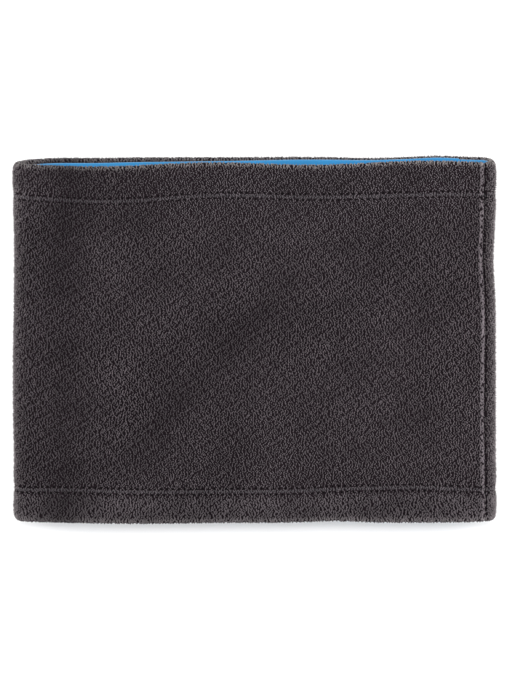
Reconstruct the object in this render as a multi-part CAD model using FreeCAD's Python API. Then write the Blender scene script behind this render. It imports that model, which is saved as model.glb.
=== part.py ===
"""Double-layer fleece neck gaiter, lying flat: a charcoal shell tube, a blue lining tube inside it, and their threads.

Frame: millimetres. The gaiter lies on Z = 0 with its wearing axis along Y, the upper rim at +Y.
X runs from side fold to side fold. The origin is the middle of the face that it rests on.

Both cloths are tubes of one section: two flat walls joined by two half-round side folds. A place in the
wall is given by its radius, the distance from the tube's middle plane, which is also the distance from
the fold axes. Each rim is bagged out: both cloths turn in between the walls, and a zigzag row holds the
turned plies down.
"""

import FreeCAD
import Part

import math
import os

# Overall sizes.
LAID_WIDTH = 265.0  # side fold to side fold, over the shell
RIM_TO_RIM = 200.0  # length along the wearing axis
OPENING = 5.2  # height inside the tube, between the two faces of the lining

# Cloths.
SHELL_THICK = 1.8
LINING_THICK = 1.2
TURNED_SHELL = 1.0  # shell turned in at a rim, pressed thin by the stitching
TURNED_LINING = 0.7  # lining turned in at a rim
PLY_GAP = 0.1  # between two plies that lie on each other
LINING_SETBACK = 2.0  # the lining's fold lies this far below the shell's fold at a rim

# Hem rows: a zigzag through every ply, sunk in a groove that it pulls into the cloth.
HEM_DEPTH = 18.0  # rim to the middle of the row
TURN_IN_PAST_ROW = 1.5  # turned plies run this far past the row
ZIGZAG_WIDTH = 3.4
ZIGZAG_PITCH = 3.25  # one whole V
NEEDLE_THREAD = 0.45  # thread diameter on the shell's face
BOBBIN_THREAD = 0.30  # thread diameter on the lining's face
SHELL_GROOVE = 0.7
LINING_GROOVE = 0.4
GROOVE_MARGIN = 0.5  # flat groove floor beside the row
THREAD_LIFT = 0.05  # thread clear of the groove floor
LEG_TRIM = 0.3  # each visible leg stops short of the needle hole, where the thread dives
CORNER_SHARE = 0.8  # corner radius of a rim's fold, as a share of the cloth's thickness

# Hidden seams between the layers.
SEAM_THREAD = 0.3
THREAD_CLEAR = 0.1  # each side of a hidden thread
RIM_SEAM_DEPTH = 3.5  # rim to the row that joins shell and lining
SHELL_SEAM_FROM_FOLD = 1.0  # from the end of the upper flat wall
LINING_SEAM_FROM_FOLD = 12.0  # from the end of the lower flat wall
SEAM_SLIT = 0.2  # between the two edges of a cloth at its side seam
SIDE_ALLOWANCE = 8.0  # cloth turned in at a side seam
SIDE_STITCH_INSET = 2.0  # side seam row to the seam line
SIDE_STITCH_PITCH = 3.0
SIDE_STITCH_LENGTH = 2.0
OVERLOCK_WIDTH = 3.5
OVERLOCK_PITCH = 3.0
OVERLOCK_INSET = 0.4  # overlock row to the raw edge
SIDE_END_GAP = 1.0  # side allowances stop this short of the turned hems
CUT_PAST = 1.0  # cutting boxes run this far past what they cut

# Radii of the layers, from the inside out.
LINING_FACE = OPENING / 2
LINING_BACK = LINING_FACE + LINING_THICK
LINING_PLY_IN = LINING_BACK + PLY_GAP
LINING_PLY_OUT = LINING_PLY_IN + TURNED_LINING
SHELL_PLY_IN = LINING_PLY_OUT + SEAM_THREAD + 2 * THREAD_CLEAR
SHELL_PLY_OUT = SHELL_PLY_IN + TURNED_SHELL
SHELL_BACK = SHELL_PLY_OUT + PLY_GAP
SHELL_FACE = SHELL_BACK + SHELL_THICK

MIDDLE = SHELL_FACE  # height of the tube's middle plane above the surface it lies on
FOLD_X = LAID_WIDTH / 2 - SHELL_FACE  # fold axes at -FOLD_X and +FOLD_X
RIM = RIM_TO_RIM / 2
LINING_RIM = RIM - LINING_SETBACK
ROW_Y = RIM - HEM_DEPTH
TURN_Y = ROW_Y - ZIGZAG_WIDTH / 2 - TURN_IN_PAST_ROW
GROOVE_HALF = ZIGZAG_WIDTH / 2 + GROOVE_MARGIN
SIDE_END_Y = TURN_Y - SIDE_END_GAP

# A side seam's two allowances share the space between the layers with their thread.
LAYER_SPACE = SHELL_BACK - LINING_BACK
SIDE_PLY = (LAYER_SPACE - 2 * PLY_GAP - SEAM_THREAD - 2 * THREAD_CLEAR) / 2
SIDE_THREAD_DEPTH = 2 * (PLY_GAP + SIDE_PLY) + THREAD_CLEAR + SEAM_THREAD / 2


def rounded_outline(points):
    """Closed wire through (radius, y, corner radius) points in the plane X = 0, corners turned by tangent arcs."""
    flat = [FreeCAD.Vector(0, y, MIDDLE + radius) for radius, y, _ in points]
    ends = []
    for i, (_, _, corner) in enumerate(points):
        before = (flat[i - 1] - flat[i]).normalize()
        after = (flat[(i + 1) % len(flat)] - flat[i]).normalize()
        half = before.getAngle(after) / 2
        reach = corner / math.tan(half) if corner else 0.0
        middle = flat[i] + (before + after).normalize() * (corner / math.sin(half) - corner) if corner else flat[i]
        ends.append((flat[i] + before * reach, middle, flat[i] + after * reach))
    edges = []
    for i, (start, middle, end) in enumerate(ends):
        if points[i][2]:
            edges.append(Part.Arc(start, middle, end).toShape())
        edges.append(Part.LineSegment(end, ends[(i + 1) % len(ends)][0]).toShape())
    return Part.Wire(edges)


def both_rims(points):
    """The upper rim's points, then the same ones at the lower rim in reverse."""
    return points + [(radius, -y, corner) for radius, y, corner in reversed(points)]


def groove(face, floor, slope):
    """Points down a face from the upper rim: the groove that a hem row pulls into the cloth."""
    return [
        (face, ROW_Y + GROOVE_HALF + slope, 0),
        (floor, ROW_Y + GROOVE_HALF, 0),
        (floor, ROW_Y - GROOVE_HALF, 0),
        (face, ROW_Y - GROOVE_HALF - slope, 0),
    ]


def shell_outline():
    """Section of the shell: the outer ply, its rounded fold at each rim, and the ply turned in behind it."""
    fold_base = RIM - SHELL_THICK
    upper = [
        (SHELL_BACK, fold_base, 0),
        (SHELL_PLY_OUT, fold_base, 0),
        (SHELL_PLY_OUT, TURN_Y, 0),
        (SHELL_PLY_IN, TURN_Y, 0),
        (SHELL_PLY_IN, RIM, TURNED_SHELL * CORNER_SHARE),
        (SHELL_FACE, RIM, SHELL_THICK * CORNER_SHARE),
    ]
    return rounded_outline(both_rims(upper + groove(SHELL_FACE, SHELL_FACE - SHELL_GROOVE, SHELL_GROOVE)))


def lining_outline():
    """Section of the lining: the inner ply, its fold at each rim, and the ply turned in behind it."""
    fold_base = LINING_RIM - LINING_THICK
    upper = [
        (LINING_BACK, fold_base, 0),
        (LINING_PLY_IN, fold_base, 0),
        (LINING_PLY_IN, TURN_Y, 0),
        (LINING_PLY_OUT, TURN_Y, 0),
        (LINING_PLY_OUT, LINING_RIM, TURNED_LINING * CORNER_SHARE),
        (LINING_FACE, LINING_RIM, LINING_THICK * CORNER_SHARE),
    ]
    return rounded_outline(both_rims(upper + groove(LINING_FACE, LINING_FACE + LINING_GROOVE, LINING_GROOVE)))


def carried_round(outline):
    """The tube that a section makes: two flat walls and two half-round side folds."""
    upper = Part.Face(outline)
    upper.translate(FreeCAD.Vector(-FOLD_X, 0, 0))
    across = FreeCAD.Vector(2 * FOLD_X, 0, 0)
    upper_wall = upper.extrude(across)
    lower_wall = upper_wall.mirror(FreeCAD.Vector(0, 0, MIDDLE), FreeCAD.Vector(0, 0, 1))
    left_fold = upper.revolve(FreeCAD.Vector(-FOLD_X, 0, MIDDLE), FreeCAD.Vector(0, -1, 0), 180)
    right_face = upper.copy()
    right_face.translate(across)
    right_fold = right_face.revolve(FreeCAD.Vector(FOLD_X, 0, MIDDLE), FreeCAD.Vector(0, 1, 0), 180)
    return upper_wall.multiFuse([lower_wall, left_fold, right_fold]).removeSplitter().Solids[0]


def slab(x_from, x_to, y_half, radius_from, radius_to, side):
    """Box in a flat wall. Side is 1 in the upper wall and -1 in the lower one."""
    low, high = sorted((MIDDLE + side * radius_from, MIDDLE + side * radius_to))
    return Part.makeBox(x_to - x_from, 2 * y_half, high - low, FreeCAD.Vector(x_from, -y_half, low))


def side_seamed(tube, seam_x, face, back, side):
    """The tube as one cloth whose two edges meet at a slit and turn in behind it, both towards -X.

    Face and back are the ply's two radii, and side is 1 in the upper wall and -1 in the lower one."""
    inward = math.copysign(1.0, back - face)
    raw_x = seam_x - SIDE_ALLOWANCE
    near_x = seam_x - SEAM_SLIT / 2
    far_x = seam_x + SEAM_SLIT / 2
    core = (face + back) / 2
    near_in = back + inward * PLY_GAP
    near_out = near_in + inward * SIDE_PLY
    far_in = near_out + inward * PLY_GAP
    far_out = far_in + inward * SIDE_PLY
    slit = slab(near_x, far_x, RIM + CUT_PAST, back, face - inward * CUT_PAST, side)
    turned_in = [
        slab(raw_x, near_x, SIDE_END_Y, near_in, near_out, side),
        slab(near_x - SIDE_PLY, near_x, SIDE_END_Y, core, near_out, side),
        slab(raw_x, far_x + SIDE_PLY, SIDE_END_Y, far_in, far_out, side),
        slab(far_x, far_x + SIDE_PLY, SIDE_END_Y, core, far_out, side),
    ]
    return tube.cut(slit).multiFuse(turned_in).removeSplitter().Solids[0]


def stations():
    """Needle points once round the tube, as (x, angle from straight up) on the walls and the fold axes."""
    per_wall = 2 * round(2 * FOLD_X / ZIGZAG_PITCH)
    per_fold = 2 * round(math.pi * SHELL_FACE / ZIGZAG_PITCH)
    step = 2 * FOLD_X / per_wall
    turn = math.pi / per_fold
    upper = [(-FOLD_X + i * step, 0.0) for i in range(per_wall)]
    right = [(FOLD_X, i * turn) for i in range(per_fold)]
    lower = [(FOLD_X - i * step, math.pi) for i in range(per_wall)]
    left = [(-FOLD_X, math.pi + i * turn) for i in range(per_fold)]
    return upper + right + lower + left


def on_girth(station, radius, y):
    """The point at a station of the girth, at a radius and a height along the tube."""
    x, angle = station
    return FreeCAD.Vector(x + radius * math.sin(angle), y, MIDDLE + radius * math.cos(angle))


def thread_piece(start, end, diameter, trim):
    """Straight round piece of thread between two points, short of each by trim."""
    along = (end - start).normalize()
    length = start.distanceToPoint(end) - 2 * trim
    return Part.makeCylinder(diameter / 2, length, start + along * trim, along)


def hem_row(radius, diameter, rim):
    """The zigzag's legs on one face, all round the tube. Rim is 1 at the upper rim and -1 at the lower one."""
    points = stations()
    legs = []
    for i, station in enumerate(points):
        following = points[(i + 1) % len(points)]
        swing = ZIGZAG_WIDTH / 2 * (1 if i % 2 else -1)
        start = on_girth(station, radius, rim * (ROW_Y + swing))
        end = on_girth(following, radius, rim * (ROW_Y - swing))
        legs.append(thread_piece(start, end, diameter, LEG_TRIM))
    return Part.makeCompound(legs)


def rim_seam(rim):
    """The straight row between the turned plies that joins shell to lining just inside a rim."""
    points = stations()
    radius = (LINING_PLY_OUT + SHELL_PLY_IN) / 2
    y = rim * (RIM - RIM_SEAM_DEPTH)
    stitches = []
    for i in range(0, len(points), 2):
        start = on_girth(points[i], radius, y)
        end = on_girth(points[i + 1], radius, y)
        stitches.append(thread_piece(start, end, SEAM_THREAD, 0.0))
    return Part.makeCompound(stitches)


def side_seam_row(seam_x, radius, side):
    """Straight stitches along Y that close a side seam."""
    count = int(2 * SIDE_END_Y / SIDE_STITCH_PITCH)
    first_y = -(count * SIDE_STITCH_PITCH - SIDE_STITCH_PITCH + SIDE_STITCH_LENGTH) / 2
    x = seam_x - SIDE_STITCH_INSET
    z = MIDDLE + side * radius
    stitches = []
    for i in range(count):
        start = FreeCAD.Vector(x, first_y + i * SIDE_STITCH_PITCH, z)
        end = start + FreeCAD.Vector(0, SIDE_STITCH_LENGTH, 0)
        stitches.append(thread_piece(start, end, SEAM_THREAD, 0.0))
    return Part.makeCompound(stitches)


def overlock_row(seam_x, radius, side):
    """The overlock's legs along the raw edges of a side seam."""
    count = 2 * int(2 * SIDE_END_Y / OVERLOCK_PITCH)
    step = OVERLOCK_PITCH / 2
    edge_x = seam_x - SIDE_ALLOWANCE + OVERLOCK_INSET
    z = MIDDLE + side * radius
    legs = []
    for i in range(count):
        y = (i - count / 2) * step
        from_edge = FreeCAD.Vector(edge_x, y, z)
        into_cloth = FreeCAD.Vector(edge_x + OVERLOCK_WIDTH, y + step, z)
        if i % 2:
            from_edge.y, into_cloth.y = into_cloth.y, from_edge.y
        legs.append(thread_piece(from_edge, into_cloth, SEAM_THREAD, LEG_TRIM))
    return Part.makeCompound(legs)


def shell_and_its_seam():
    """The outer tube of cloth, with the two threads of its side seam under the upper wall."""
    seam_x = FOLD_X - SHELL_SEAM_FROM_FOLD
    thread_radius = SHELL_BACK - SIDE_THREAD_DEPTH
    return {
        "outer_shell": side_seamed(carried_round(shell_outline()), seam_x, SHELL_FACE, SHELL_BACK, 1),
        "shell_side_seam_thread": side_seam_row(seam_x, thread_radius, 1),
        "shell_side_overlock_thread": overlock_row(seam_x, thread_radius, 1),
    }


def lining_and_its_seam():
    """The inner tube of cloth, with the two threads of its side seam over the lower wall."""
    seam_x = FOLD_X - LINING_SEAM_FROM_FOLD
    thread_radius = LINING_BACK + SIDE_THREAD_DEPTH
    return {
        "lining": side_seamed(carried_round(lining_outline()), seam_x, LINING_FACE, LINING_BACK, -1),
        "lining_side_seam_thread": side_seam_row(seam_x, thread_radius, -1),
        "lining_side_overlock_thread": overlock_row(seam_x, thread_radius, -1),
    }


def rim_threads(rim_name, rim):
    """The threads of one rim: the zigzag's two faces and the row that joins the cloths."""
    needle_radius = SHELL_FACE - SHELL_GROOVE + THREAD_LIFT + NEEDLE_THREAD / 2
    bobbin_radius = LINING_FACE + LINING_GROOVE - THREAD_LIFT - BOBBIN_THREAD / 2
    return {
        rim_name + "_hem_needle_thread": hem_row(needle_radius, NEEDLE_THREAD, rim),
        rim_name + "_hem_bobbin_thread": hem_row(bobbin_radius, BOBBIN_THREAD, rim),
        rim_name + "_rim_seam_thread": rim_seam(rim),
    }


def build():
    """Every piece by its node name."""
    pieces = {}
    pieces.update(shell_and_its_seam())
    pieces.update(lining_and_its_seam())
    pieces.update(rim_threads("top", 1))
    pieces.update(rim_threads("bottom", -1))
    return pieces


os.makedirs("parts", exist_ok=True)
for name, shape in build().items():
    shape.exportStep("parts/" + name + ".step")
    print(name, len(shape.Solids), "solids", round(shape.Volume, 1), "mm3", shape.isValid())
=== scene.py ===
"""Fleece neck gaiter, lying flat as it was put down: charcoal shell, its pile, blue lining and every thread.

Units are metres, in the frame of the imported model. A place in the tube has three coordinates: girth, the
distance round the tube from the left end of the upper wall; along, the distance up the wearing axis from its
middle; and radius, the distance from the tube's middle plane, which the walls and the side folds share.
"""

import math

import bpy
import mathutils
import numpy as np
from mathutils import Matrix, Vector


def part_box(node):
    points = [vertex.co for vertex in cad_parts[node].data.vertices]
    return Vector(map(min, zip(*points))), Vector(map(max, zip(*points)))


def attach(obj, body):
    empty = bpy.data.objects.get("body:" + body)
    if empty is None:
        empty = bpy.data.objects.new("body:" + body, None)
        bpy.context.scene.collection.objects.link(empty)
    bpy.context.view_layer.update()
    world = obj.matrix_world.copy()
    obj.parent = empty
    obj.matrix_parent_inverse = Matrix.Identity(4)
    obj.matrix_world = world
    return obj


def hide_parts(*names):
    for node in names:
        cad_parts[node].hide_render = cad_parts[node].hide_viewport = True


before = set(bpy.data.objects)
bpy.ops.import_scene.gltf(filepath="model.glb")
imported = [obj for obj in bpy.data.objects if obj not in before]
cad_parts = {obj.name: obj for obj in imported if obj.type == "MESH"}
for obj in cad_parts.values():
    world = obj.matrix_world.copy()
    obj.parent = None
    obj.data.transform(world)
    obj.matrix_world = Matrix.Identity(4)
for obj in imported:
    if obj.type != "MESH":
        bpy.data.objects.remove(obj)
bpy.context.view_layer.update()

bl_info = {
    "name": "Fleece neck gaiter",
    "version": (1, 0, 0),
    "blender": (4, 5, 0),
    "location": "3D View > Sidebar > Gaiter",
    "description": "Makes a double-layer fleece neck gaiter, with its pile, lining and stitching",
    "category": "Object",
}

MM = 0.001
TAU = 2 * math.pi

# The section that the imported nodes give.
SHELL_LOW, SHELL_HIGH = (np.array(corner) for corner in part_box("outer_shell"))
LINING_LOW, LINING_HIGH = (np.array(corner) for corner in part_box("lining"))
ROW_LOW, ROW_HIGH = (np.array(corner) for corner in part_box("top_hem_needle_thread"))
SEAM_LOW, SEAM_HIGH = (np.array(corner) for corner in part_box("top_rim_seam_thread"))
HALF_WIDTH = float(SHELL_HIGH[0])
RIM = float(SHELL_HIGH[1])
SHELL_FACE = float(SHELL_HIGH[2] - SHELL_LOW[2]) / 2
MIDDLE = SHELL_FACE
FOLD_X = HALF_WIDTH - SHELL_FACE
LINING_OUT = float(LINING_HIGH[2] - LINING_LOW[2]) / 2
ROW_Y = float(ROW_LOW[1] + ROW_HIGH[1]) / 2
RIM_SEAM_Y = float(SEAM_LOW[1] + SEAM_HIGH[1]) / 2
SIDE_END = float(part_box("shell_side_seam_thread")[1][1])
WALL = 2 * FOLD_X
FOLD = math.pi * SHELL_FACE
GIRTH = 2 * (WALL + FOLD)
GIRTH_MARKS = (0.0, WALL, WALL + FOLD, 2 * WALL + FOLD, GIRTH)
ALLOWANCE = 8 * MM  # cloth turned in at a side seam
FOLD_REACH = 9 * MM  # how far round the tube from a side fold's middle the fold is felt
HEM_SLIP_FROM = 0.03  # the hems' uneven slip starts this far from the tube's middle
RIM_PILE = 0.6  # height of the pile on a rim's fold, as a share of its height on the walls

# Points on a cloth's path: on each turned ply, on each rim's fold, and on the outer ply between the folds.
TURNED_POINTS = 60
FOLD_POINTS = 11
PLY_POINTS = 500
OUTER_PLY = slice(TURNED_POINTS + FOLD_POINTS, TURNED_POINTS + FOLD_POINTS + PLY_POINTS)

# Bumps in the settled rims and hems: height in millimetres, place across the tube, and width.
BACK_RIM = (
    (0.25, 0.02, 0.02), (-0.4, 0.062, 0.014), (0.9, 0.101, 0.014), (-0.35, -0.09, 0.02), (-1.7, -0.133, 0.016)
)
FRONT_FOOT = ((0.85, 0.043, 0.018), (-0.6, -0.062, 0.035))
UPPER_HEM = ((1.8, -0.078, 0.045), (0.85, 0.08, 0.035))
LOWER_HEM = ((1.0, -0.1, 0.035), (2.2, 0.083, 0.034))

PILE_PIECES = 8
TUFT_SIDES = 6
TUFT_SINK = 0.08 * MM  # a tuft's foot lies this far under the knit's skin
DRAWN_LENGTH, DRAWN_WIDTH, DRAWN_HEIGHT = 0.6 * MM, 0.55 * MM, 0.6  # half sizes of the tuft at a needle hole
THREAD_SIDES = 6

# The hidden side seams, as distances from the seam line.
STRIP_START = 0.8 * MM
SIDE_INSET = 2.0 * MM
SIDE_PITCH = 3 * MM
OVERLOCK_INSET = ALLOWANCE - 2.15 * MM
OVERLOCK_HALF = 1.75 * MM  # half of the overlock's width


def millimetres(name, description, default):
    """A length that a user may set, with its default in millimetres."""
    return bpy.props.FloatProperty(name=name, description=description, default=default * MM, unit="LENGTH")


def watts(name, description, default):
    """The power of a light, which a user may set."""
    return bpy.props.FloatProperty(name=name, description=description, default=default, unit="POWER")


def dye(name, description, default):
    """A colour that a user may set."""
    return bpy.props.FloatVectorProperty(
        name=name, description=description, subtype="COLOR", size=3, default=default, min=0.0, max=1.0
    )


class ClothSizes(bpy.types.PropertyGroup):
    """Thicknesses of the plies and the shape of the pile."""

    knit: millimetres("Shell knit", "Thickness of the shell without its pile", 0.9)
    pile: millimetres("Pile height", "Height of the shell's pile over its knit", 1.0)
    lining: millimetres("Lining", "Room that the lining's inner ply takes up", 1.1)
    turned_lining: millimetres("Turned lining", "Thickness of the lining's knit", 0.65)
    ply_gap: millimetres("Ply gap", "Between two plies that lie on each other", 0.1)
    turn_in: millimetres("Turn-in", "How far the turned plies run past a hem row", 3.4)
    tuft_length: millimetres("Tuft length", "Usual length of one tuft of the pile", 0.88)
    tuft_width: millimetres("Tuft width", "Usual width of one tuft of the pile", 0.82)
    wale_pitch: millimetres("Wale pitch", "Between two columns of tufts, round the tube", 1.45)
    course_pitch: millimetres("Course pitch", "Between two rows of tufts, along the tube", 0.7)


class DrapeSizes(bpy.types.PropertyGroup):
    """How far the settled cloth leaves the plain flattened tube."""

    front_drop: millimetres("Front drop", "How far the upper wall slipped down", 2.7)
    front_tilt: millimetres("Front tilt", "Rise of the upper wall's rim to its right end", 1.0)
    hem_stretch: millimetres("Hem stretch", "How far the upper hem of the upper wall is drawn down", 0.4)
    rim_wave: millimetres("Rim wave", "Height of the slow wave in the upper rim", 0.87)
    side_wave: millimetres("Side wave", "Height of the slow wave in the left fold", 0.35)
    side_waist: millimetres("Side waist", "How far the right fold draws in", 1.3)
    corner_round: millimetres("Corner round", "Radius of the corners from rim to side fold", 3.0)
    sink: millimetres("Sink", "How far the middle of the upper wall sinks into the tube", 1.6)
    ripple: millimetres("Ripple", "Height of the soft ripples in the upper wall", 0.35)
    row_dip: millimetres("Row dip", "Depth that a hem row pulls into the cloth", 0.5)
    hem_puff: millimetres("Hem puff", "Extra fullness of a hem beside its row", 0.35)
    seam_dip: millimetres("Seam dip", "Depth of the shell's side seam", 0.85)
    seam_ridge: millimetres("Seam ridge", "Height of the ridge beside that groove", 0.75)
    roll_left: millimetres("Roll at the left", "How far the shell rolls over the rim at the left", 3.8)
    roll_right: millimetres("Roll at the right", "How far the shell rolls over the rim at the right", 1.95)


class StitchSizes(bpy.types.PropertyGroup):
    """The stitching."""

    zigzag_width: millimetres("Zigzag width", "From one side of a hem row to the other", 3.4)
    zigzag_pitch: millimetres("Zigzag pitch", "Length of one whole V", 3.25)
    needle_thread: millimetres("Needle thread", "Thread diameter on the shell", 0.55)
    bobbin_thread: millimetres("Bobbin thread", "Thread diameter on the lining", 0.34)
    seam_thread: millimetres("Seam thread", "Thread diameter in the hidden seams", 0.3)
    shell_seam: millimetres("Shell seam", "From the start of the right fold to the shell's side seam", 1.6)
    lining_seam: millimetres("Lining seam", "From the right fold to the lining's side seam", 11.5)


class Finish(bpy.types.PropertyGroup):
    """Colours."""

    tip_colour: dye("Pile tips", "Colour of the pile where light reaches it", (0.127, 0.110, 0.120))
    # Painted highlight: a lighter colour painted on the pile where light and sheen catch the rims and the
    # side folds.
    highlight_colour: dye("Opened pile", "Colour of the pile where it is spread", (0.232, 0.219, 0.211))
    # Painted shade: this dark colour at the tufts' roots and on the knit between them stands in for the shade
    # deep in the pile.
    root_shade_colour: dye(
        "Pile roots", "Colour deep between the tufts",
        (0.0120, 0.0087, 0.0106),
    )
    lining_colour: dye("Lining", "Colour of the lining", (0.0225, 0.181, 0.388))
    thread_colour: dye("Shell thread", "Colour of the thread on the shell", (0.050, 0.047, 0.051))


class StageSizes(bpy.types.PropertyGroup):
    """Camera and light."""

    camera_height: millimetres("Camera height", "Camera over the surface", 1250.0)
    view_height: millimetres("View height", "Length of the surface seen from edge to edge", 375.0)
    key_power: watts("Key light", "Power of the soft light over the upper rim", 12.0)
    side_power: watts("Side lights", "Power of the low light at each side", 16.0)
    fill: bpy.props.FloatProperty(
        name="Fill", description="Strength of the light from all round", default=0.76
    )


# Smooth shapes.


def bell(distance, width):
    """A smooth bump: one at no distance, falling as e to the minus distance over width, squared."""
    return np.exp(-((distance / width) ** 2))


def ease(value, start, end):
    """Zero before start, one after end, and a smooth S between: t squared times three minus two t."""
    t = np.clip((value - start) / (end - start), 0.0, 1.0)
    return t * t * (3 - 2 * t)


def unit(vectors):
    """Vectors made one long."""
    return vectors / np.linalg.norm(vectors, axis=-1, keepdims=True)


def drift(a, b, seed, wavelength):
    """A smooth random field over two coordinates: sine waves in seeded directions, added and divided by the
    root of their number."""
    count = 7
    rng = np.random.default_rng(seed)
    heading = rng.uniform(0, TAU, count)
    scale = TAU / (wavelength * rng.uniform(0.7, 1.5, count))
    phase = rng.uniform(0, TAU, count)
    total = np.zeros(np.broadcast(a, b).shape)
    for k in range(count):
        total = total + np.sin(scale[k] * (a * math.cos(heading[k]) + b * math.sin(heading[k])) + phase[k])
    return total / math.sqrt(count)


def bumps(x, level, table):
    """A level with a table's bumps added to it across the tube, in millimetres."""
    for height, centre, width in table:
        level = level + height * bell(x - centre, width)
    return level


# The settled tube.


def seam_girth(along):
    """Where the shell's side seam runs: a little past the start of the right fold, with a slow wander."""
    stitch = bpy.context.scene.gaiter_stitch
    return WALL + stitch.shell_seam + 0.35 * MM * np.sin(along * TAU / 0.12 + 0.6)


def place(girth, along, radius):
    """The settled tube's point at three coordinates.

    The plain tube is two flat walls and two half-round folds. The upper wall has slipped down the tube and
    sinks softly between the folds, rims and hems wave and are drawn in at the side seam, the folds' outline
    waves in and out, and the four corners are drawn in to a quarter circle."""
    drape = bpy.context.scene.gaiter_drape
    girth = np.mod(girth, GIRTH)
    axis = np.interp(girth, GIRTH_MARKS, (-FOLD_X, FOLD_X, FOLD_X, -FOLD_X, -FOLD_X))
    angle = np.interp(girth, GIRTH_MARKS, (0.0, 0.0, math.pi, math.pi, TAU))
    x = axis + radius * np.sin(angle)
    z = MIDDLE + radius * np.cos(angle)
    front = (1 + np.cos(angle)) / 2
    across = x / HALF_WIDTH
    up = (along / RIM + 1) / 2

    front_top = -drape.front_drop + drape.front_tilt * across
    front_top = front_top + drape.rim_wave * np.cos(TAU * (x + 0.025) / 0.117)
    back_top = bumps(x, 1.7, BACK_RIM)
    front_foot = bumps(x, -0.75, FRONT_FOOT) + across**8
    back_foot = 1.6
    drawn_in = -0.5 * MM * bell(girth - seam_girth(along), 1.3 * MM)
    top = front * front_top + (1 - front) * back_top * MM + drawn_in
    foot = (front * front_foot + (1 - front) * back_foot) * MM - drawn_in
    deeper = drape.hem_stretch + bumps(x, 0.0, UPPER_HEM) * MM
    deeper = deeper * ease(along, HEM_SLIP_FROM, ROW_Y) * (1 - ease(along, ROW_Y, RIM))
    higher = bumps(x, -0.3, LOWER_HEM) * MM
    higher = higher * ease(-along, HEM_SLIP_FROM, ROW_Y) * (1 - ease(-along, ROW_Y, RIM))
    y = along + up * top + (1 - up) * foot + front * (higher - deeper)

    left = 1.0 * MM + drape.side_wave * np.cos(TAU * (along + 0.02) / 0.125)
    right = 0.6 * MM - drape.side_waist * bell(along - 0.045, 0.018)
    x = x + np.where(across < 0, left, right) * across * np.abs(across)
    past = np.clip((np.abs(along) - RIM) / drape.corner_round + 1, 0, 1)
    x = x - drape.corner_round * (1 - np.sqrt(1 - past * past)) * np.sign(across) * across**12

    hollow = (1 - np.clip(np.abs(axis) / FOLD_X, 0, 1) ** 3) * (1 - 0.55 * (along / RIM) ** 4)
    soft = drift(x, along, 11, 0.075) + 0.6 * drift(x, along, 12, 0.04)
    z = z + front * (-drape.sink * hollow + drape.ripple * soft * (0.35 + 0.65 * hollow))
    return np.stack([x, y, z], axis=-1)


def tangents(girth, along, radius):
    """Unit directions at a place: round the tube, along it, and out of it, from small steps each way."""
    step = 0.02 * MM
    around = place(girth + step, along, radius) - place(girth - step, along, radius)
    upward = place(girth, along + step, radius) - place(girth, along - step, radius)
    around = unit(around)
    outward = unit(np.cross(around, upward))
    return around, np.cross(outward, around), outward


def ply_path(rim, outer, turned, last):
    """Middle line of a cloth through its section, as (radius, along) points a fraction of a millimetre apart.

    From the raw edge of the ply turned in at the upper rim, up, over a half-round fold, down the whole outer
    ply, and the same again at the lower rim."""
    half = abs(outer - turned) / 2
    fold_at = rim - half
    straight = np.linspace(last, fold_at, TURNED_POINTS)
    turn = np.linspace(0, math.pi, FOLD_POINTS + 2)[1:-1]
    fold_radius = (outer + turned) / 2 + np.sign(turned - outer) * half * np.cos(turn)
    fold_along = fold_at + half * np.sin(turn)
    down = np.linspace(fold_at, -fold_at, PLY_POINTS)
    inside = np.full(TURNED_POINTS, turned)
    radius = np.concatenate([inside, fold_radius, np.full(PLY_POINTS, outer), fold_radius[::-1], inside])
    along = np.concatenate([straight, fold_along, down, -fold_along[::-1], -straight[::-1]])
    return radius, along


def travelled(radius, along):
    """Distance along a path of points from its first one."""
    return np.concatenate([[0], np.cumsum(np.hypot(np.diff(radius), np.diff(along)))])


def spaced(radius, along, marks):
    """The path's points at given distances from its start."""
    length = travelled(radius, along)
    return np.interp(marks, length, radius), np.interp(marks, length, along)


def with_outward(radius, along, marks, step):
    """The path's points at given distances from its start, and the unit direction out of the cloth at each:
    square to the line between the points a step before and a step after."""
    r, y = spaced(radius, along, marks)
    r_after, y_after = spaced(radius, along, marks + step)
    r_before, y_before = spaced(radius, along, marks - step)
    run = np.hypot(r_after - r_before, y_after - y_before)
    return r, y, (y_before - y_after) / run, (r_after - r_before) / run


def marks_for(radius, along, coarse, fine):
    """Distances along a path, fine near its rims and hem rows, and coarse elsewhere."""
    length = travelled(radius, along)
    near = bell(np.abs(along) - ROW_Y, 5 * MM) + ease(np.abs(along), RIM - 6 * MM, RIM - 3 * MM)
    pitch = 1 / (1 / coarse + (1 / fine - 1 / coarse) * np.clip(near, 0, 1))
    density = np.concatenate([[0], np.cumsum(np.diff(length) / (0.5 * (pitch[1:] + pitch[:-1])))])
    return np.interp(np.linspace(0, density[-1], int(density[-1]) + 1), density, length)


def girth_marks():
    """Stations round the tube: coarse on the walls, fine round the folds and finest at the two side seams."""
    seam = float(seam_girth(0.0))
    lower = WALL + FOLD
    stretches = (
        (0, WALL - 9 * MM, 66), (WALL - 9 * MM, seam - 4 * MM, 6), (seam - 4 * MM, seam + 3 * MM, 22),
        (seam + 3 * MM, lower, 22), (lower, lower + 6 * MM, 3), (lower + 6 * MM, lower + 16 * MM, 34),
        (lower + 16 * MM, 2 * WALL + FOLD, 66), (2 * WALL + FOLD, GIRTH, 26),
    )
    return np.concatenate([np.linspace(start, end, count, endpoint=False) for start, end, count in stretches])


def fold_distance(girth):
    """Distance round the tube to the middle of the nearer side fold."""
    return np.abs(np.mod(girth - WALL - FOLD / 2 + GIRTH / 4, GIRTH / 2) - GIRTH / 4)


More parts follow.
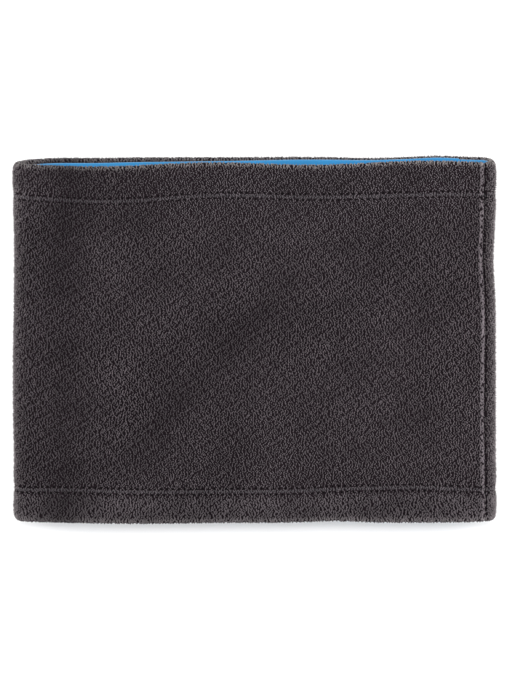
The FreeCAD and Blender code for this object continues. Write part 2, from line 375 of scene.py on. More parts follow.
def shell_relief(girth, along):
    """How far the shell stands in or out: dips at the hem rows and the side seam, full hems, and a ridge."""
    drape = bpy.context.scene.gaiter_drape
    from_row = np.abs(along) - ROW_Y
    from_seam = girth - seam_girth(along)
    on_fold = bell(fold_distance(girth), FOLD_REACH)
    dip = -drape.row_dip * bell(from_row, 2.6 * MM) * (1 - 0.8 * on_fold)
    puff = drape.hem_puff * (bell(from_row - 8 * MM, 5 * MM) + 0.5 * bell(from_row + 8 * MM, 5 * MM))
    seam = drape.seam_ridge * bell(from_seam + 1.7 * MM, 1.2 * MM)
    seam = seam - drape.seam_dip * bell(from_seam, 0.7 * MM)
    beyond = 0.3 * drape.seam_ridge * bell(from_seam - 2.5 * MM, 1.5 * MM)
    return dip + puff + seam + beyond


def roll(girth):
    """How far the lining's rim lies below the shell's: the shell rolls over more at the left."""
    drape = bpy.context.scene.gaiter_drape
    axis = np.interp(np.mod(girth, GIRTH), GIRTH_MARKS, (-1.0, 1.0, 1.0, -1.0, -1.0))
    return drape.roll_left + (drape.roll_right - drape.roll_left) * ease(axis, -0.95, 0.75)


def lining_shift(girth, along):
    """How far the lining is drawn along the tube, away from its rims, with a step at its side seam."""
    from_seam = girth - WALL - FOLD - bpy.context.scene.gaiter_stitch.lining_seam
    down = roll(girth) + 0.15 * MM * bell(from_seam, 0.6 * MM)
    down = down - 0.45 * MM * ease(from_seam, -0.5 * MM, 0.5 * MM)
    return -np.sign(along) * down * ease(np.abs(along), RIM - 24 * MM, RIM - 4 * MM)


# Meshes.


def put_mesh(name, points, faces, material, uv, values=None):
    """One smooth mesh object. Faces is a list of integer arrays, each with one row per face.

    The bake map holds a place for every corner of every face, and values are named numbers, one per point."""
    mesh = bpy.data.meshes.new(name)
    corners = np.concatenate([group.ravel() for group in faces]).astype(np.int32)
    sizes = np.concatenate([np.full(len(group), group.shape[1], np.int32) for group in faces])
    starts = np.concatenate([[0], np.cumsum(sizes)[:-1]]).astype(np.int32)
    mesh.vertices.add(len(points))
    mesh.vertices.foreach_set("co", points.astype(np.float32).ravel())
    mesh.loops.add(len(corners))
    mesh.loops.foreach_set("vertex_index", corners)
    mesh.polygons.add(len(sizes))
    mesh.polygons.foreach_set("loop_start", starts)
    mesh.polygons.foreach_set("loop_total", sizes)
    mesh.polygons.foreach_set("use_smooth", np.ones(len(sizes), bool))
    layer = mesh.uv_layers.new(name="OFBake")
    layer.uv.foreach_set("vector", uv.astype(np.float32).ravel())
    for key, value in (values or {}).items():
        attribute = mesh.attributes.new(key, "FLOAT", "POINT")
        attribute.data.foreach_set("value", value.astype(np.float32))
    mesh.update(calc_edges=True)
    mesh.materials.append(material)
    piece = bpy.data.objects.new(name, mesh)
    bpy.context.scene.collection.objects.link(piece)
    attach(piece, "root")
    return piece


def ring_faces(rows, columns):
    """Quads of a grid closed both ways, and each quad's corners on a unit map.

    The cloths, threads and strips made from them face inwards. They would face outwards with each quad's
    corners in the other order, in the mesh and on the map."""
    row, column = np.meshgrid(np.arange(rows), np.arange(columns), indexing="ij")
    after_row = (row + 1) % rows
    after_column = (column + 1) % columns
    quads = np.stack(
        [row * columns + column, after_row * columns + column,
         after_row * columns + after_column, row * columns + after_column], axis=-1
    )
    u = np.stack([row, row + 1, row + 1, row], axis=-1) / rows
    v = np.stack([column, column, column + 1, column + 1], axis=-1) / columns
    return quads.reshape(-1, 4), np.stack([u, v], axis=-1).reshape(-1, 4, 2)


def cloth_sheet(name, path, thickness, material, relief, shift):
    """A closed sheet round the tube: the path's middle line thickened to both sides, with flat raw edges.

    Relief moves the points at a place in or out, and shift moves them along the tube."""
    marks = marks_for(*path, 2.6 * MM, 0.8 * MM)
    r, y, out_r, out_y = with_outward(*path, marks, 0.05 * MM)
    half = thickness / 2
    loop_r = np.concatenate([r + half * out_r, (r - half * out_r)[::-1]])
    loop_y = np.concatenate([y + half * out_y, (y - half * out_y)[::-1]])
    g = girth_marks()[:, None]
    loop_y = loop_y[None, :] + shift(g, loop_y[None, :])
    loop_r = loop_r[None, :] + relief(g, loop_y)
    points = place(g, loop_y, loop_r).reshape(-1, 3)
    faces, uv = ring_faces(len(g), loop_r.shape[1])
    return put_mesh(name, points, [faces], material, uv)


def thread_tube(name, girth, along, radius, diameter, material, closed):
    """A round thread along a path given in the tube's coordinates, with ends drawn nearly to a point.

    The diameter is one number, or one for each point of the path."""
    points = place(girth, along, radius)
    _, _, outward = tangents(girth, along, radius)
    if closed:
        run = np.roll(points, -1, axis=0) - np.roll(points, 1, axis=0)
    else:
        run = np.gradient(points, axis=0)
    run = unit(run)
    beside = unit(np.cross(run, outward))
    above = np.cross(beside, run)
    turn = (np.arange(THREAD_SIDES) * TAU / THREAD_SIDES)[None, :, None]
    half = np.zeros(len(points)) + diameter / 2
    if not closed:
        half[[0, -1]] = half[1] / 25
    ring = beside[:, None] * np.cos(turn) + above[:, None] * np.sin(turn)
    skin = points[:, None] + ring * half[:, None, None]
    faces, uv = ring_faces(len(points), THREAD_SIDES)
    if not closed:
        last = (len(points) - 1) * THREAD_SIDES
        faces, uv = faces[:last], uv[:last]
    return put_mesh(name, skin.reshape(-1, 3), [faces[:, ::-1]], material, uv[:, ::-1])


# Materials.


def new_material(name, even):
    """A material with one Principled shader, whose even values are set on its own sockets."""
    material = bpy.data.materials.new(name)
    material.use_nodes = True
    tree = material.node_tree
    shader = tree.nodes["Principled BSDF"]
    for socket, value in even.items():
        shader.inputs[socket].default_value = value
    return material, tree, shader


def add_node(tree, kind, inputs=None, **settings):
    """A node with its settings, and its inputs given as values or as sockets to link from."""
    node = tree.nodes.new(kind)
    for key, value in settings.items():
        setattr(node, key, value)
    for key, value in (inputs or {}).items():
        if isinstance(value, bpy.types.NodeSocket):
            tree.links.new(value, node.inputs[key])
        else:
            node.inputs[key].default_value = value
    return node


def worked_out(tree, operation, *values):
    """The result of a Math node on given values or sockets."""
    return add_node(tree, "ShaderNodeMath", dict(enumerate(values)), operation=operation).outputs[0]


def blended(tree, share, first, second):
    """The first of two colours going over to the second as the share goes from zero to one."""
    return add_node(tree, "ShaderNodeMix", {0: share, 6: first, 7: second}, data_type="RGBA").outputs[2]


def rgba(colour):
    """A colour with full alpha."""
    return (*colour, 1.0)


def fibre_group():
    """Shader node group: the uneven tone of brushed fibres, as broad patches and as fine grain."""
    name = "Fibre tone"
    if name in bpy.data.node_groups:
        return bpy.data.node_groups[name]
    tree = bpy.data.node_groups.new(name, "ShaderNodeTree")
    for label in ("Broad size", "Fine size", "Depth"):
        tree.interface.new_socket(label, in_out="INPUT", socket_type="NodeSocketFloat")
    tree.interface.new_socket("Tone", in_out="OUTPUT", socket_type="NodeSocketFloat")
    given = tree.nodes.new("NodeGroupInput")
    result = tree.nodes.new("NodeGroupOutput")
    where = add_node(tree, "ShaderNodeTexCoord")
    tones = []
    for label in ("Broad size", "Fine size"):
        scale = worked_out(tree, "DIVIDE", 1.0, given.outputs[label])
        noise = add_node(
            tree, "ShaderNodeTexNoise",
            {"Vector": where.outputs["Object"], "Scale": scale, "Detail": 3.0, "Roughness": 0.55},
        )
        tones.append(worked_out(tree, "SUBTRACT", noise.outputs["Fac"], 0.5))
    both = worked_out(tree, "ADD", *tones)
    tone = worked_out(tree, "MULTIPLY_ADD", both, given.outputs["Depth"], 1.0)
    tree.links.new(tone, result.inputs["Tone"])
    return tree


def fibre_tone(tree, broad, fine, depth):
    """The tone that the fibre group gives a material, with the material's own sizes and depth."""
    fibre = add_node(tree, "ShaderNodeGroup", node_tree=fibre_group())
    for label, value in (("Broad size", broad), ("Fine size", fine), ("Depth", depth)):
        fibre.inputs[label].default_value = value
    return fibre.outputs["Tone"]


def toned(tree, colour_socket, tone_socket):
    """The colour made lighter or darker by a tone that is near one."""
    mix = add_node(tree, "ShaderNodeVectorMath", {0: colour_socket}, operation="SCALE")
    tree.links.new(tone_socket, mix.inputs["Scale"])
    return mix.outputs[0]


def plain_material(name, even, colour, broad, fine, depth):
    """A material of one colour, made uneven by its fibres."""
    material, tree, shader = new_material(name, even)
    tone = fibre_tone(tree, broad, fine, depth)
    base = add_node(tree, "ShaderNodeRGB")
    base.outputs[0].default_value = rgba(colour)
    tree.links.new(toned(tree, base.outputs[0], tone), shader.inputs["Base Color"])
    return material, tree, shader, tone


def pile_material():
    """Charcoal pile: painted shade at the tufts' roots going over to the pile's colour at the tips, a painted
    highlight at the rims and side folds, and each tuft's own tone, which also holds painted broad light and
    shade.
    """
    finish = bpy.context.scene.gaiter_finish
    material, tree, shader = new_material(
        "charcoal_pile_painted_light",
        {"Roughness": 1.0, "Specular IOR Level": 0.02, "Sheen Weight": 0.01, "Sheen Roughness": 0.35,
         "Sheen Tint": (0.80, 0.84, 0.78, 1.0)},
    )
    tip, tone, painted_highlight = [
        add_node(tree, "ShaderNodeAttribute", attribute_name=key).outputs["Fac"]
        for key in ("tip", "tone", "painted_highlight")
    ]
    height = worked_out(tree, "POWER", tip, 0.8)
    # Painted highlight: the crown goes over to the highlight colour at the rims and side folds.
    crown_with_highlight = blended(tree, painted_highlight, rgba(finish.tip_colour), rgba(finish.highlight_colour))
    # Painted shade: each tuft goes from the root shade colour at its foot to its crown colour at the top.
    colour = blended(tree, height, rgba(finish.root_shade_colour), crown_with_highlight)
    fibre = fibre_tone(tree, broad=45 * MM, fine=1.2 * MM, depth=0.45)
    uneven = worked_out(tree, "MULTIPLY", tone, fibre)
    tree.links.new(toned(tree, colour, uneven), shader.inputs["Base Color"])
    return material


def knit_material():
    """The shell's ground knit, seen only between tufts and at its raw edges: painted the dark root shade
    colour so that the gaps between tufts read as shade, and uneven.
    """
    material, _, _, _ = plain_material(
        "knit_painted_shade", {"Roughness": 1.0, "Specular IOR Level": 0.02, "Sheen Weight": 0.0},
        bpy.context.scene.gaiter_finish.root_shade_colour, broad=50 * MM, fine=0.8 * MM, depth=0.8,
    )
    return material


def lining_material():
    """Blue brushed knit: matt and soft, with a fine nap and a slightly uneven dye."""
    material, tree, shader, tone = plain_material(
        "blue_lining",
        {"Roughness": 0.9, "Specular IOR Level": 0.2, "Sheen Weight": 0.3, "Sheen Roughness": 0.5,
         "Sheen Tint": (0.75, 0.88, 1.0, 1.0)},
        bpy.context.scene.gaiter_finish.lining_colour, broad=20 * MM, fine=0.9 * MM, depth=0.35,
    )
    bump = add_node(tree, "ShaderNodeBump", {"Height": tone, "Strength": 0.35, "Distance": 0.4 * MM})
    tree.links.new(bump.outputs[0], shader.inputs["Normal"])
    return material


def thread_material(name, colour):
    """Spun thread, a little uneven."""
    material, _, _, _ = plain_material(
        name, {"Roughness": 0.9, "Specular IOR Level": 0.08, "Sheen Weight": 0.03},
        colour, broad=50 * MM, fine=0.4 * MM, depth=0.5,
    )
    return material


# The pieces.


def shell_radii():
    """Middle radii of the shell's outer ply and of its turned ply."""
    cloth = bpy.context.scene.gaiter_cloth
    outer = SHELL_FACE - cloth.pile - cloth.knit / 2
    return outer, outer - cloth.knit - cloth.ply_gap


def shell_path():
    """Middle line of the shell's ground knit through its section."""
    cloth = bpy.context.scene.gaiter_cloth
    outer, turned = shell_radii()
    return ply_path(RIM - RIM_PILE * cloth.pile - cloth.knit / 2, outer, turned, ROW_Y - cloth.turn_in)


class GAITER_OT_shell(bpy.types.Operator):
    """Makes the shell's ground knit, turned in at both rims"""

    bl_idname = "gaiter.make_shell"
    bl_label = "Make shell"

    def execute(self, context):
        cloth = context.scene.gaiter_cloth
        piece = cloth_sheet(
            "shell_knit", shell_path(), cloth.knit, knit_material(), shell_relief, lambda g, y: np.zeros(1)
        )
        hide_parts("outer_shell")
        return {"FINISHED"}


class GAITER_OT_lining(bpy.types.Operator):
    """Makes the lining, turned in at both rims"""

    bl_idname = "gaiter.make_lining"
    bl_label = "Make lining"

    def execute(self, context):
        cloth = context.scene.gaiter_cloth
        stitch = context.scene.gaiter_stitch
        turned = LINING_OUT - cloth.turned_lining / 2
        inner = turned - cloth.turned_lining / 2 - cloth.ply_gap - cloth.lining / 2
        path = ply_path(RIM - cloth.turned_lining / 2, inner, turned, ROW_Y - cloth.turn_in)

        def relief(girth, along):
            from_seam = girth - WALL - FOLD - stitch.lining_seam
            groove = bell(from_seam, 0.5 * MM) + 0.5 * bell(from_seam + 3.7 * MM, 0.5 * MM)
            return 0.35 * MM * bell(np.abs(along) - ROW_Y, 2.4 * MM) + 0.7 * MM * groove

        piece = cloth_sheet("lining_knit", path, cloth.turned_lining, lining_material(), relief, lining_shift)
        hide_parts("lining")
        return {"FINISHED"}


def tuft_faces():
    """One tuft: a ring of points, a ridge of two over it, and a flat foot.

    Returns the ring and ridge as (length, width, height) shares, and the top triangles and the foot."""
    turn = np.arange(TUFT_SIDES) * TAU / TUFT_SIDES
    ring = np.stack([np.cos(turn), np.sin(turn), np.zeros(TUFT_SIDES)], axis=1)
    ridge = np.array([[0.4, 0.0, 1.0], [-0.4, 0.0, 1.0]])
    top = np.array([(0, 1, 6), (1, 2, 7), (2, 3, 7), (3, 4, 7), (4, 5, 6), (5, 0, 6), (1, 7, 6), (4, 6, 7)])
    foot = np.arange(TUFT_SIDES)[::-1][None]
    return np.concatenate([ring, ridge]), top, foot


def pile_places(start, end, seed):
    """Where tufts stand between two girths: girth, distance along the shell's path and lean, one of each per
    tuft, and the random source for the rest of the piece.

    They stand on a knit's grid of wales and courses, twice as close round a rim's fold. A smooth random field
    that changes quickly along the tube moves each sideways and leans it, so that no wale runs straight."""
    cloth = bpy.context.scene.gaiter_cloth
    rng = np.random.default_rng(seed)
    radius, along = shell_path()
    length = travelled(radius, along)
    first = np.interp(RIM - 7 * MM, along[:TURNED_POINTS], length[:TURNED_POINTS])
    inside = np.linspace(first, length[-1] - first, 4000)
    crowd = 1 + ease(np.abs(np.interp(inside, length, along)), RIM - 3.2 * MM, RIM - 2.2 * MM)
    courses = np.cumsum(crowd) * (inside[1] - inside[0]) / cloth.course_pitch
    rows = int(courses[-1])
    columns = int(round((end - start) / cloth.wale_pitch))
    row, column = np.meshgrid(np.arange(rows) + 0.5, np.arange(columns) + 0.5, indexing="ij")
    jitter = rng.uniform(-1, 1, (2, rows, columns))
    t = np.interp(row + 0.25 * jitter[0], courses, inside)
    g = start + (column + 0.2 * jitter[1]) * (end - start) / columns

    def sway(distance):
        return 0.42 * cloth.wale_pitch * drift(g, 5.0 * distance, 31, 0.006)

    step = 0.1 * MM
    lean = np.arctan(0.2 * (sway(t + step) - sway(t - step)) / (2 * step))
    return (g + sway(t)).ravel(), t.ravel(), lean.ravel(), rng


class GAITER_OT_pile(bpy.types.Operator):
    """Makes the shell's pile, as tufts in several pieces round the tube"""

    bl_idname = "gaiter.make_pile"
    bl_label = "Make pile"

    def execute(self, context):
        material = pile_material()
        marks = np.linspace(-FOLD / 2, GIRTH - FOLD / 2, PILE_PIECES + 1)
        for k in range(PILE_PIECES):
            piece = make_pile_piece("pile_%d" % (k + 1), marks[k], marks[k + 1], k, material)
        return {"FINISHED"}


def painted_shade_and_tone(points):
    """Tone of the pile at points, near one: painted broad light and shade, darker a little in from the left
    fold, in a patch near the upper left and in a diagonal band, lighter in a patch left of the middle,
    towards the right fold and on the upper hem, and darker on the lower hem, with random tone added.
    """
    x, y = points[:, 0], points[:, 1]
    tone = 1 - 0.34 * bell(x + 0.105, 0.012) - 0.28 * bell(x + 0.085, 0.04) * bell(y - 0.082, 0.018)
    stroke = ease(x, -0.08, -0.05) * (1 - ease(x, 0.0, 0.03))
    tone = tone - 0.27 * bell(y - 1.1 * x - 0.011, 0.013) * stroke
    tone = tone + 0.18 * bell(x + 0.074, 0.012) * bell(y + 0.02, 0.02) + 0.13 * ease(x, 0.08, 0.118)
    tone = tone + 0.10 * ease(y, 0.055, 0.085) - 0.20 * ease(-y, 0.08, 0.09)
    return tone + 0.07 * drift(x, y, 41, 0.035) + 0.05 * drift(x, y, 42, 0.012)


def lower_hem(y):
    """One on the hem below the lower row, and zero above it."""
    return ease(-y, ROW_Y + 2 * MM, ROW_Y + 5 * MM)


def smoothed(g, y):
    """How far the pile closes to a smooth skin: on the seam's ridge, at the rims and on the lower hem."""
    share = 0.85 * bell(g - seam_girth(y) + 2.0 * MM, 0.75 * MM)
    share = np.maximum(share, 0.6 * bell(RIM - np.abs(y), 1.6 * MM))
    return np.maximum(share, 0.3 * lower_hem(y))


def pressed(g, y, leg, hole):
    """Height of the pile as a share of its full height: less at a hem row, its thread and needle holes, the
    rims and the seam's ridge."""
    on_wall = 1 - 0.8 * bell(fold_distance(g), FOLD_REACH)
    share = 1 - 0.35 * bell(np.abs(y) - ROW_Y, 2.4 * MM) * on_wall - 0.3 * bell(leg, 0.5 * MM)
    share = share * (1 - 0.6 * bell(hole, 0.9 * MM))
    share = share * (1 - (1 - RIM_PILE) * ease(np.abs(y), RIM - 4 * MM, RIM - 1.5 * MM))
    return share * (1 - 0.45 * bell(g - seam_girth(y) + 1.7 * MM, 1.3 * MM))


def edge_highlight_share(g, y):
    """Share of painted highlight on the pile: at the rims, and round the side folds, where light catches the
    round edges.

    The girth's first half, from the left fold's middle to the right fold's end, takes the smaller share."""
    first_half = g < GIRTH / 2
    share = bell(RIM - np.abs(y), 2.6 * MM) * np.where(y > 0, 0.75, 0.4)
    reach = np.where(first_half, 8.0, 9.5) * MM
    return np.maximum(share, np.where(first_half, 0.4, 1.15) * bell(fold_distance(g), reach))


def tuft_map(count, flat, top, foot):
    """Each tuft's faces in its own cell of a square map, its top over its foot."""
    side = int(math.ceil(math.sqrt(count)))
    cell = np.stack([np.arange(count) % side, np.arange(count) // side], axis=1)[:, None] + 0.5
    top_uv = (cell + (flat * (0.44, 0.3) + (0, 0.16))[top.ravel()][None]) / side
    foot_uv = (cell + (flat * (0.44, 0.12) + (0, -0.34))[foot.ravel()][None]) / side
    return np.concatenate([top_uv.reshape(-1, 2), foot_uv.reshape(-1, 2)])


def pile_roots(start, end, seed):
    """Where the tufts of one piece stand: none on a thread, in a needle hole or in the side seam, and a small
    one drawn in at each needle point.

    Gives girth, radius, along, direction out, lean, distances to thread and hole, and which are drawn in."""
    g, t, lean, rng = pile_places(start, end, seed)
    radius, along = shell_path()
    length = travelled(radius, along)
    drawn_g, drawn_y = needle_holes(start, end)
    drawn_t = np.interp(-drawn_y, -along[OUTER_PLY], length[OUTER_PLY])
    drawn = np.concatenate([np.zeros(len(g), bool), np.ones(len(drawn_g), bool)])
    g, t = np.concatenate([g, drawn_g]), np.concatenate([t, drawn_t])
    lean = np.concatenate([lean, np.zeros(len(drawn_g))])
    r, y, out_r, out_y = with_outward(radius, along, t, 0.1 * MM)

    far = 1.0
    on_face = out_r > 0.5
    from_row = np.abs(y) - ROW_Y
    leg = np.where(on_face, np.abs(from_row - zigzag_offset(g)), far)
    hole = np.where(on_face, hole_distance(g, from_row), far)
    from_seam = np.where(out_r > -0.5, np.abs(g - seam_girth(y)), far)
    keep = (hole > 0.7 * MM) & (leg > 0.12 * MM) & (from_seam > 0.4 * MM) | drawn
    return [a[keep] for a in (g, r, y, out_r, out_y, lean, leg, hole, drawn)], rng


def make_pile_piece(name, start, end, seed, material):
    """One piece of pile: each tuft stands on the knit's skin and points along the tube but for its lean."""
    cloth = bpy.context.scene.gaiter_cloth
    (g, r, y, out_r, out_y, lean, leg, hole, drawn), rng = pile_roots(start, end, seed)
    count = len(g)

    base_r = r + out_r * (cloth.knit / 2 - TUFT_SINK)
    base_y = y + out_y * (cloth.knit / 2 - TUFT_SINK)
    base_r = base_r + shell_relief(g, base_y)
    root = place(g, base_y, base_r)
    around, upward, _ = tangents(g, base_y, base_r)
    radial = unit(place(g, base_y, base_r + 0.05 * MM) - root)
    out = unit(out_r[:, None] * radial + out_y[:, None] * upward)
    downpath = np.cross(out, around)

    lean = np.clip(lean, -0.7, 0.7) + 0.2 * rng.normal(size=count)
    long = np.cos(lean)[:, None] * downpath + np.sin(lean)[:, None] * around
    wide = np.cross(out, long)
    half_long = cloth.tuft_length / 2 * rng.uniform(0.75, 1.25, count)
    half_wide = cloth.tuft_width / 2 * rng.uniform(0.8, 1.2, count)
    smooth = smoothed(g, y)
    high = cloth.pile * rng.uniform(0.65, 1.15, count) * pressed(g, y, leg, hole)
    bend = rng.uniform(-0.35, 0.35, count)
    half_long = np.where(drawn, DRAWN_LENGTH, half_long * (1 + 1.2 * smooth))
    half_wide = np.where(drawn, DRAWN_WIDTH, half_wide * (1 + smooth))
    high = np.where(drawn, DRAWN_HEIGHT * cloth.pile, high)

    shape, top, foot = tuft_faces()
    wander = rng.normal(0, 0.07, (count, len(shape), 2))
    u = shape[:, 0][None] + wander[..., 0]
    v = shape[:, 1][None] + wander[..., 1] + bend[:, None] * (shape[:, 0][None] ** 2 - 0.4)
    h = shape[:, 2][None]
    points = root[:, None] + u[..., None] * (half_long[:, None] * long)[:, None]
    points = points + v[..., None] * (half_wide[:, None] * wide)[:, None]
    points = points + h[..., None] * (high[:, None] * out)[:, None]
    points[..., 2] = np.maximum(points[..., 2], 0.02 * MM)

    offset = (np.arange(count) * len(shape))[:, None, None]
    triangles = (top[None] + offset).reshape(-1, 3)
    feet = (foot[None] + offset).reshape(-1, TUFT_SIDES)
    closed = np.maximum(0.6 * smooth, 0.5 * lower_hem(y))
    # Painted shade: the tufts drawn in at the needle holes are painted nearly black for the shade in the
    # holes, and the rest of the tone is painted broad light and shade with random tone.
    tone = painted_shade_and_tone(root) * (1 + (1 - closed) * rng.uniform(-0.28, 0.28, count)) * np.where(drawn, 0.03, 1.0)
    values = {
        # Share of painted highlight at the rims and side folds.
        "painted_highlight": np.repeat(edge_highlight_share(g, y), len(shape)),
        # The tip share blends in the painted root shade; where the pile closes smooth, less of it is painted.
        "tip": (h + (1 - h) * 0.8 * closed[:, None]).ravel(),
        "tone": np.repeat(tone, len(shape)),
    }
    uv = tuft_map(count, shape[:, :2], top, foot)
    return put_mesh(name, points.reshape(-1, 3), [triangles, feet], material, uv, values)


def zigzag_points():
    """Needle points round the tube: how many, and the girth between two of them."""
    stitch = bpy.context.scene.gaiter_stitch
    count = 2 * int(round(GIRTH / stitch.zigzag_pitch))
    return count, GIRTH / count


def zigzag_offset(girth):
    """How far the zigzag lies above the middle of its row at a girth: a triangle wave."""
    stitch = bpy.context.scene.gaiter_stitch
    _, step = zigzag_points()
    phase = np.mod(girth / step, 2.0)
    return stitch.zigzag_width * (np.abs(phase - 1.0) - 0.5)


def needle_holes(start, end):
    """Where the needle went in between two girths, on both hem rows: girth and distance along the tube."""
    stitch = bpy.context.scene.gaiter_stitch
    count, step = zigzag_points()
    number = np.arange(count)
    girth = number * step
    girth = np.where(girth >= GIRTH - FOLD / 2, girth - GIRTH, girth)
    side = np.where(number % 2 == 0, 0.5, -0.5) * stitch.zigzag_width
    here = (girth >= start) & (girth < end)
    girth, along = girth[here], ROW_Y + side[here]
    return np.concatenate([girth, girth]), np.concatenate([along, -along])


def hole_distance(girth, from_row):
    """Distance to the nearest needle point of a hem row."""
    stitch = bpy.context.scene.gaiter_stitch
    _, step = zigzag_points()
    nearest = np.round(girth / step)
    side = np.where(np.mod(nearest, 2) < 0.5, 0.45, -0.45) * stitch.zigzag_width
    return np.hypot(girth - nearest * step, from_row - side)


def hem_thread(name, rim, radius, lift, diameter, material):
    """A zigzag thread all round the tube: straight legs between needle points, each rising from its hole and
    diving into the next."""
    count, step = zigzag_points()
    per_leg = 8
    share = np.arange(count * per_leg) / per_leg
    girth = share * step
    along = rim * (ROW_Y + zigzag_offset(girth))
    within = np.mod(share, 1.0)
    rise = 1 - (2 * within - 1) ** 2
    level = radius(girth, along) + lift * (rise - 0.9)
    return thread_tube(name, girth, along, level, diameter * (0.45 + 0.65 * rise), material, True)


class GAITER_OT_hem_rows(bpy.types.Operator):
    """Makes the zigzag threads of both hems, on the shell and on the lining"""

    bl_idname = "gaiter.make_hem_rows"
    bl_label = "Make hem rows"

    def execute(self, context):
        cloth = context.scene.gaiter_cloth
        stitch = context.scene.gaiter_stitch
        finish = context.scene.gaiter_finish
        outer, _ = shell_radii()
        shell_thread = thread_material("charcoal_thread", finish.thread_colour)
        lining_thread = thread_material("blue_thread", finish.lining_colour)
        lining_face = LINING_OUT - cloth.turned_lining * 1.5 - cloth.ply_gap - cloth.lining / 2

        def on_shell(girth, along):
            return outer + cloth.knit / 2 + shell_relief(girth, along) - 0.1 * cloth.pile

        def on_lining(girth, along):
            return np.full(girth.shape, lining_face + 0.1 * MM)

        threads = (
            ("needle", on_shell, 0.9 * MM, stitch.needle_thread, shell_thread, "shell_thread"),
            ("bobbin", on_lining, -0.5 * MM, stitch.bobbin_thread, lining_thread, "lining_thread"),
        )
        for rim_name, rim in (("top", 1), ("bottom", -1)):
            for kind, radius, lift, diameter, material, slot in threads:
                name = "%s_hem_%s" % (rim_name, kind)
                piece = hem_thread(name, rim, radius, lift, diameter, material)
                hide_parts(name + "_thread")
        return {"FINISHED"}


def side_strip(name, seam, start, end, radius, thickness, material):
    """One turned-in edge of a cloth at its side seam: a flat closed strip between the hems.

    Its section is a stadium from start to end round the tube, and its middle lies at a radius."""
    y = np.linspace(-SIDE_END, SIDE_END, 80)[:, None]
    turn = np.linspace(-math.pi / 2, math.pi / 2, 5)
    half = thickness / 2
    across = np.concatenate([end - half + half * np.cos(turn), start + half - half * np.cos(turn)])
    out = np.concatenate([half * np.sin(turn), -half * np.sin(turn)])
    points = place(seam(y) + across[None], y + 0 * across[None], radius + out[None] + 0 * y).reshape(-1, 3)
    sides = len(across)
    quads, uv = ring_faces(len(y), sides)
    last_row = (len(y) - 1) * sides
    body = quads[:last_row][:, ::-1]
    first = np.arange(sides)[None]
    last = last_row + np.arange(sides)[::-1][None]
    uv = np.concatenate([uv[:last_row][:, ::-1].reshape(-1, 2), np.zeros((2 * sides, 2))])
    return put_mesh(name, points, [body, first, last], material, uv)


class GAITER_OT_hidden_seams(bpy.types.Operator):
    """Makes the seams between the layers: their threads, and the edges of cloth that they hold"""

    bl_idname = "gaiter.make_hidden_seams"
    bl_label = "Make hidden seams"

    def execute(self, context):
        cloth = context.scene.gaiter_cloth
        stitch = context.scene.gaiter_stitch
        material = thread_material("seam_thread", context.scene.gaiter_finish.thread_colour)
        thread = stitch.seam_thread

        def sew(name, girth, along, radius, closed):
            piece = thread_tube(name, girth, along, radius, thread, material, closed)
            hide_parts(name + "_thread")

        for rim_name, rim in (("top", 1), ("bottom", -1)):
            girth = np.linspace(0, GIRTH, 360, endpoint=False)
            along = np.full(len(girth), rim * RIM_SEAM_Y)
            level = np.full(len(girth), LINING_OUT + thread / 2 + 0.1 * MM)
            sew(rim_name + "_rim_seam", girth, along + lining_shift(girth, along), level, True)

        def lining_line(y):
            return WALL + FOLD + stitch.lining_seam + 0 * y

        shell_back = SHELL_FACE - cloth.pile - cloth.knit
        sides = (
            ("shell_side", seam_girth, -1, shell_back - 0.5 * MM, shell_back - 1.4 * MM, 0.8 * MM,
             shell_back - 2.0 * MM, knit_material(), "shell_fleece"),
            ("lining_side", lining_line, 1, LINING_OUT - 0.6 * MM, LINING_OUT, 0.5 * MM,
             LINING_OUT + 0.45 * MM, lining_material(), "lining_fleece"),
        )
        for name, line, way, near, far, thickness, level, cloth_material, slot in sides:
            start, end = sorted((way * STRIP_START, way * ALLOWANCE))
            for order, radius in (("inner", near), ("outer", far)):
                strip = side_strip(
                    "%s_allowance_%s" % (name, order), line, start, end, radius, thickness, cloth_material
                )
            y = np.linspace(-SIDE_END, SIDE_END, 320)
            rise = 0.05 * MM * np.sin(TAU * y / SIDE_PITCH)
            sew(name + "_seam", line(y) + way * SIDE_INSET, y, level + rise, False)
            swing = OVERLOCK_HALF * (4 * np.abs(np.mod(y / SIDE_PITCH, 1.0) - 0.5) - 1)
            sew(name + "_overlock", line(y) + way * OVERLOCK_INSET + swing, y, level + 0 * y, False)
        return {"FINISHED"}


class GAITER_OT_sheets(bpy.types.Operator):
    """An empty step: it makes and states nothing"""

    bl_idname = "gaiter.state_sheets"
    bl_label = "State sheets"

    def execute(self, context):
        return {"FINISHED"}


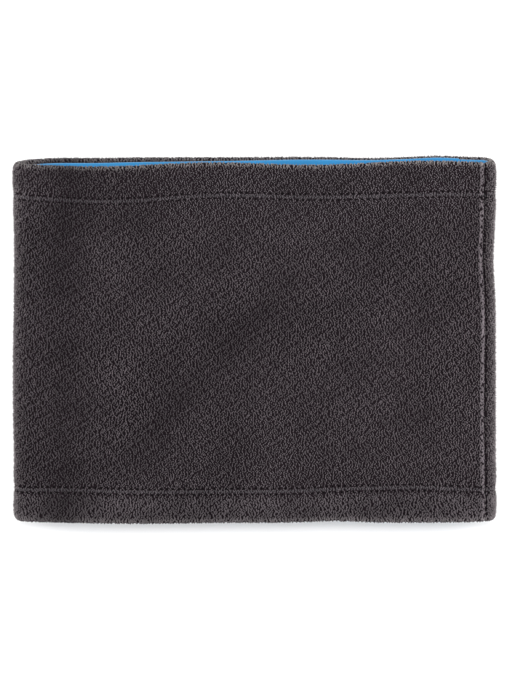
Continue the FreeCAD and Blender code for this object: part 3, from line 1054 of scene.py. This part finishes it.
class GAITER_OT_stage(bpy.types.Operator):
    """Makes the floor, the lights and the camera"""

    bl_idname = "gaiter.make_stage"
    bl_label = "Make stage"

    def execute(self, context):
        stage = context.scene.gaiter_stage
        scene = context.scene
        material, _, _ = new_material(
            "white_floor",
            {"Base Color": (0.79, 0.79, 0.79, 1.0), "Roughness": 0.9, "Specular IOR Level": 0.1},
        )
        mesh = bpy.data.meshes.new("floor")
        half = 3.0
        corners = [(-half, -half, 0), (half, -half, 0), (half, half, 0), (-half, half, 0)]
        mesh.from_pydata(corners, [], [(0, 1, 2, 3)])
        mesh.materials.append(material)
        floor = bpy.data.objects.new("floor", mesh)
        scene.collection.objects.link(floor)

        world = bpy.data.worlds.new("soft_studio")
        world.use_nodes = True
        background = world.node_tree.nodes["Background"]
        background.inputs["Color"].default_value = (1.0, 1.0, 1.0, 1.0)
        background.inputs["Strength"].default_value = stage.fill
        scene.world = world

        lights = (
            ("key", stage.key_power, (1.2, 0.9), (0.0, 0.55, 1.15)),
            ("left_fill", stage.side_power, (0.9, 0.5), (-1.1, 0.0, 0.42)),
            ("right_fill", stage.side_power, (0.9, 0.5), (1.1, 0.0, 0.42)),
        )
        for name, power, size, place_at in lights:
            light = bpy.data.lights.new(name, "AREA")
            light.energy = power
            light.shape = "RECTANGLE"
            light.size, light.size_y = size
            lamp = bpy.data.objects.new(name, light)
            lamp.location = place_at
            lamp.rotation_euler = mathutils.Vector(place_at).to_track_quat("Z", "Y").to_euler()
            scene.collection.objects.link(lamp)

        camera_data = bpy.data.cameras.new("camera")
        sensor = 36.0  # millimetres, as the lens is
        camera_data.lens = sensor * (stage.camera_height - MIDDLE) / stage.view_height
        camera_data.sensor_width = sensor
        camera = bpy.data.objects.new("camera", camera_data)
        camera.location = (0.0, 0.0, stage.camera_height)
        scene.collection.objects.link(camera)
        scene.camera = camera
        scene.view_settings.view_transform = "Standard"
        return {"FINISHED"}


class GAITER_PT_panel(bpy.types.Panel):
    """Lists the gaiter's sizes, colours and steps"""

    bl_label = "Gaiter"
    bl_idname = "GAITER_PT_panel"
    bl_space_type = "VIEW_3D"
    bl_region_type = "UI"
    bl_category = "Gaiter"

    def draw(self, context):
        for group_name in SETTINGS:
            group = getattr(context.scene, group_name)
            box = self.layout.box()
            for key in group.bl_rna.properties.keys():
                if key not in ("name", "rna_type"):
                    box.prop(group, key)
        for operator in STEPS:
            self.layout.operator(operator.bl_idname)


SETTINGS = {
    "gaiter_cloth": ClothSizes,
    "gaiter_drape": DrapeSizes,
    "gaiter_stitch": StitchSizes,
    "gaiter_finish": Finish,
    "gaiter_stage": StageSizes,
}
STEPS = (
    GAITER_OT_shell,
    GAITER_OT_pile,
    GAITER_OT_lining,
    GAITER_OT_hem_rows,
    GAITER_OT_hidden_seams,
    GAITER_OT_sheets,
    GAITER_OT_stage,
)


def register():
    for kind in (*SETTINGS.values(), *STEPS, GAITER_PT_panel):
        bpy.utils.register_class(kind)
    for name, kind in SETTINGS.items():
        setattr(bpy.types.Scene, name, bpy.props.PointerProperty(type=kind))


def unregister():
    for name in SETTINGS:
        delattr(bpy.types.Scene, name)
    for kind in reversed((*SETTINGS.values(), *STEPS, GAITER_PT_panel)):
        bpy.utils.unregister_class(kind)


def main():
    register()
    bpy.ops.gaiter.make_shell()
    bpy.ops.gaiter.make_pile()
    bpy.ops.gaiter.make_lining()
    bpy.ops.gaiter.make_hem_rows()
    bpy.ops.gaiter.make_hidden_seams()
    bpy.ops.gaiter.state_sheets()
    bpy.ops.gaiter.make_stage()


if __name__ == "__main__":
    main()
